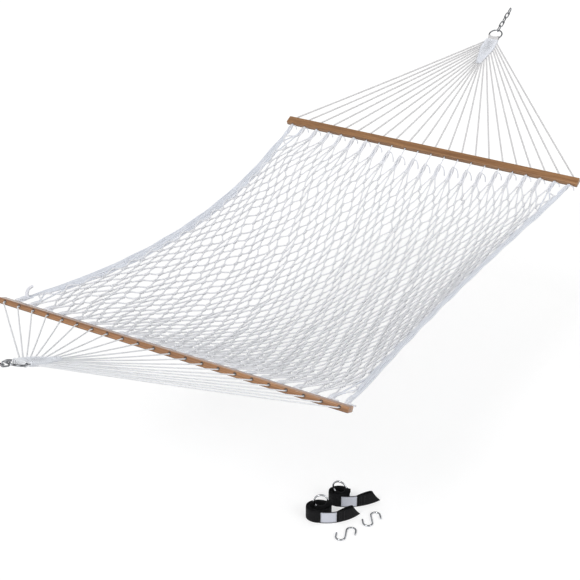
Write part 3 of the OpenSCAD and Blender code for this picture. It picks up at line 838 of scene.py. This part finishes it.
def makeClew(end):
    side = ends[end]
    wrap = (clew["ringWire"] + clew["farCord"]) / 2 + clew["ringGap"]
    halfTurn = clew["loopTurn"] * math.pi
    cords = []
    for column in range(holes["count"] // 2):
        x = (column - middleColumn) * clew["column"]
        ringDown = math.sqrt(clew["ringRadius"] ** 2 - x * x)
        loop = [slopePoint(x, clewLength - ringDown + wrap * math.cos(a), wrap * math.sin(a), side)
                for a in np.linspace(halfTurn, -halfTurn, clew["loopSteps"])]
        first = clewCord(2 * column, column, 1, side)
        second = clewCord(2 * column + 1, column, -1, side)
        path = smoothed(evenly(first + loop + second[::-1], clew["step"]), 2)
        cords.append(tube(path, clew[end + "Cord"], clew["lay"]))
    piece = meshOf(end + "ClewCords", cords)
    finishPiece(piece, clewRopeLitNearShadedFar[end], "rope", "hammock", end + "_clew_cords")
    rows = int((clew["headLength"] - weft["end"]) / weft["pitch"])
    piece = meshOf(end + "ClewHead", [weftRow(row, side) for row in range(rows)])
    finishPiece(piece, wovenRope, "woven_rope", "hammock", end + "_clew_head")


for end in ends:
    makeClew(end)
print("clews made")


# Rings, chains, anchor links and hooks keep their CAD shape
for name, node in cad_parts.items():
    if name in ("strap_a_ring", "strap_b_ring") or name.startswith("s_hook"):
        paint(node, chrome)
    elif name.endswith("_ring") or "link" in name:
        paint(node, zinc)


kit = {
    "place": (0.449, -0.544), "turn": 30.0, "width": 0.05, "thick": 0.002, "turnPitch": 0.0046,
    "turns": 2.7, "coilSteps": 60, "tailSteps": 40, "tipSlant": 0.22, "eyeJoint": 0.42, "backFrom": 0.04,
    "ringRadius": 0.0265, "ringWire": 0.007, "ringGap": 0.0004, "faceGap": 0.0002, "underReach": 0.020,
    "wrapFrom": 0.35, "wrapTo": 1.65, "wrapSteps": 14, "loopFrom": -130.0, "loopSteps": 16,
    "loopStart": 0.002, "loopRise": 0.005, "loopBend": 0.004, "columns": 9,
}
straps = {
    "a": {"coil": (-0.096, -0.009), "radii": (0.049, 0.038),
          "ring": (-0.089, -0.005, 0.067), "ringTurn": 0.0,
          "tail": ((-0.052, -0.056), (0.012, -0.042), (0.056, 0.009)),
          "back": ((0.038, 0.008), (0.002, -0.014))},
    "b": {"coil": (-0.019, 0.083), "radii": (0.041, 0.033),
          "ring": (-0.019, 0.080, 0.066), "ringTurn": -24.0,
          "tail": ((0.022, 0.042), (0.086, 0.054), (0.134, 0.092)),
          "back": ((0.112, 0.092), (0.080, 0.082))},
}


def inKit(points):
    x, y, z = np.moveaxis(np.asarray(points, float), -1, 0)
    a = math.radians(kit["turn"])
    placedX = kit["place"][0] + x * math.cos(a) - y * math.sin(a)
    placedY = kit["place"][1] + x * math.sin(a) + y * math.cos(a)
    return np.stack([placedX, placedY, z], -1)


def bezier(a, b, c, d, s):
    s = np.asarray(s, float)[..., None]
    a, b, c, d = (np.asarray(p, float) for p in (a, b, c, d))
    return (1 - s) ** 3 * a + 3 * (1 - s) ** 2 * s * b + 3 * (1 - s) * s * s * c + s ** 3 * d


def coilPoint(strap, turn):  # a place in a coil's plan, some turns in from its outer end
    angle = math.radians(270 - 360 * turn)
    radii = np.array(strap["radii"]) - turn * kit["turnPitch"]
    return np.array(strap["coil"]) + radii * (math.cos(angle), math.sin(angle))


def shell(grid, thick):  # a strap or label: a sheet of points made a closed shell, with UVs in metres
    rows, cols = grid.shape[:2]
    normal = unit(np.cross(np.gradient(grid, axis=0), np.gradient(grid, axis=1)))
    edge = np.ones(cols)
    edge[[0, -1]] = 0.45
    offset = normal * thick / 2 * edge[None, :, None]
    v = lengths(grid[:, cols // 2])
    u = lengths(grid[rows // 2])
    number = np.arange(2 * rows * cols).reshape(2, rows, cols)
    flat = np.stack(np.meshgrid(v, u, indexing="ij")[::-1], -1)
    faces, uvs = [], []

    def add(corners, places, flip):
        order = slice(None, None, -1) if flip else slice(None)
        faces.append(np.stack(corners[order], -1).reshape(-1, 4))
        uvs.append(np.stack(places[order], -2).reshape(-1, 4, 2))

    for k in (0, 1):
        n = number[k]
        add([n[:-1, :-1], n[:-1, 1:], n[1:, 1:], n[1:, :-1]],
            [flat[:-1, :-1], flat[:-1, 1:], flat[1:, 1:], flat[1:, :-1]], k == 0)
    for j, flip in ((0, True), (cols - 1, False)):
        add([number[0, :-1, j], number[0, 1:, j], number[1, 1:, j], number[1, :-1, j]],
            [flat[:-1, j], flat[1:, j], flat[1:, j], flat[:-1, j]], flip)
    for i, flip in ((0, True), (rows - 1, False)):
        add([number[0, i, :-1], number[1, i, :-1], number[1, i, 1:], number[0, i, 1:]],
            [flat[i, :-1], flat[i, :-1], flat[i, 1:], flat[i, 1:]], flip)
    both = np.concatenate([grid + offset, grid - offset]).reshape(-1, 3)
    return both, np.concatenate(faces), np.concatenate(uvs), np.zeros((0, 3), int), np.zeros((0, 3, 2))


def ringEdge(strap, angle, out):  # a point round the strap's ring, out from its wire
    turn = math.radians(strap["ringTurn"])
    spoke = np.array([math.cos(angle) * math.cos(turn), math.cos(angle) * math.sin(turn), math.sin(angle)])
    return np.array(strap["ring"]) + (kit["ringRadius"] + out) * spoke


def strapGrid(strap):  # a strap from the turn round its ring, out through the coil, to the sewn eye
    loopAngle = 2 * math.asin(kit["width"] / 2 / kit["ringRadius"])
    turn = math.radians(strap["ringTurn"])
    ringNormal = np.array([-math.sin(turn), math.cos(turn), 0])
    wrapTurns = np.linspace(kit["wrapFrom"] * math.pi, kit["wrapTo"] * math.pi, kit["wrapSteps"])
    wire = kit["ringWire"] / 2 + kit["ringGap"] + kit["thick"] / 2
    start = coilPoint(strap, 0)
    join = bezier(start, *strap["tail"], kit["eyeJoint"])
    columns = []
    for h in np.linspace(0, 1, kit["columns"]):
        angle = math.radians(kit["loopFrom"]) + loopAngle * h
        outward = ringEdge(strap, angle, 1.0) - ringEdge(strap, angle, 0.0)
        rim = ringEdge(strap, angle, 0.0)
        behind = ringNormal * (kit["thick"] / 2 + kit["faceGap"])
        under = [rim + outward * (wire + kit["underReach"] * (1 - s)) - behind for s in (0.33, 0.66)]
        wrapped = [rim + wire * (outward * math.cos(a) - ringNormal * math.sin(a)) for a in wrapTurns]
        foot = np.array([*coilPoint(strap, kit["turns"]), kit["width"] * h])
        first = rim + outward * (wire + kit["loopStart"]) + ringNormal * kit["thick"] / 2
        second = rim + outward * (wire + kit["loopRise"] + kit["loopBend"])
        crossing = [(1 - f) ** 2 * first + 2 * f * (1 - f) * second + f * f * foot
                    for f in np.linspace(0, 1, kit["loopSteps"])]
        column = under + wrapped + crossing[:-1]
        for k in range(round(kit["turns"] * kit["coilSteps"]), 0, -1):
            column.append(np.array([*coilPoint(strap, k / kit["coilSteps"]), kit["width"] * h]))
        tipAt = 1 - kit["tipSlant"] * h
        for s in np.linspace(0, tipAt, kit["tailSteps"]):
            column.append(np.array([*bezier(start, *strap["tail"], s), kit["width"] * h]))
        tip = bezier(start, *strap["tail"], tipAt)
        for s in np.linspace(kit["backFrom"], 1, kit["tailSteps"]):
            column.append(np.array([*bezier(tip, *strap["back"], join, s), kit["width"] * h]))
        columns.append(np.array(column))
    return inKit(np.stack(columns, 1))


def makeStrap(letter):
    grid = strapGrid(straps[letter])
    piece = meshOf(f"strap{letter.upper()}Webbing", [shell(grid, kit["thick"])])
    finishPiece(piece, webbing, "webbing", f"strap_{letter}_body", f"strap_{letter}_webbing",
                f"strap_{letter}_ring_loop")


for letter in straps:
    makeStrap(letter)


# Labels and stitching on the straps' outer faces
label = {"length": 0.058, "height": 0.044, "start": 0.006, "thick": 0.0008, "lengthSteps": 24,
         "heightSteps": 12}


def tailLine(strap, wanted):  # points along a strap's tail from its coil, and the way out from its face
    path = bezier(coilPoint(strap, 0), *strap["tail"], np.linspace(0, 1, 200))
    line = placesAt(path, wanted)
    tangent = unit(placesAt(path, wanted + 0.001) - line)
    return line, np.stack([tangent[:, 1], -tangent[:, 0]], -1)


def makeLabel(letter):
    along = np.linspace(label["start"], label["start"] + label["length"], label["lengthSteps"])
    line, outside = tailLine(straps[letter], along)
    margin = (kit["width"] - label["height"]) / 2
    grid = np.zeros((label["lengthSteps"], label["heightSteps"], 3))
    for j, h in enumerate(np.linspace(margin, margin + label["height"], label["heightSteps"])):
        grid[:, j, :2] = line + outside * (kit["thick"] / 2 + label["thick"] / 2)
        grid[:, j, 2] = h
    piece = meshOf(f"strap{letter.upper()}Label", [shell(inKit(grid), label["thick"])])
    finishPiece(piece, labelCloth, "label_cloth", f"strap_{letter}_body", f"strap_{letter}_label")


stitch = {
    "thread": 0.0009, "lay": 0.01, "pitch": 0.0042, "gap": 0.3, "rise": (-0.3, 0.25, 0.25, -0.3),
    "inset": 0.0025, "eyeRows": (0.075, 0.081, 0.095), "eyeMargin": 0.005,
}


# Short stitches from one place to another, each given along the tail and up from the strap's edge
def stitchRow(strap, start, stop, out):
    start, stop = np.array(start), np.array(stop)
    count = max(1, round(np.linalg.norm(stop - start) / stitch["pitch"]))
    tubes = []
    for k in range(count):
        shares = (k + np.linspace(stitch["gap"] / 2, 1 - stitch["gap"] / 2, len(stitch["rise"]))) / count
        places = start + (stop - start) * shares[:, None]
        line, outside = tailLine(strap, places[:, 0])
        rise = out + stitch["thread"] * np.array(stitch["rise"])
        points = np.column_stack([line + outside * rise[:, None], places[:, 1]])
        tubes.append(tube(inKit(points), stitch["thread"], stitch["lay"], sides=4, groove=0))
    return tubes


def makeStitching(letter):
    strap = straps[letter]
    left, right = label["start"] + stitch["inset"], label["start"] + label["length"] - stitch["inset"]
    low = (kit["width"] - label["height"]) / 2 + stitch["inset"]
    high = kit["width"] - low
    onLabel = kit["thick"] / 2 + label["thick"]
    tubes = []
    for start, stop in (((left, low), (right, low)), ((left, high), (right, high)),
                        ((left, low), (left, high)), ((right, low), (right, high))):
        tubes += stitchRow(strap, start, stop, onLabel)
    for along in stitch["eyeRows"]:
        bottom, top = stitch["eyeMargin"], kit["width"] - stitch["eyeMargin"]
        tubes += stitchRow(strap, (along, bottom), (along, top), kit["thick"] / 2)
    piece = meshOf(f"strap{letter.upper()}Stitching", tubes)
    finishPiece(piece, thread, "webbing", f"strap_{letter}_body")


for letter in straps:
    makeLabel(letter)
    makeStitching(letter)
print("kit made")

print("scene ready")
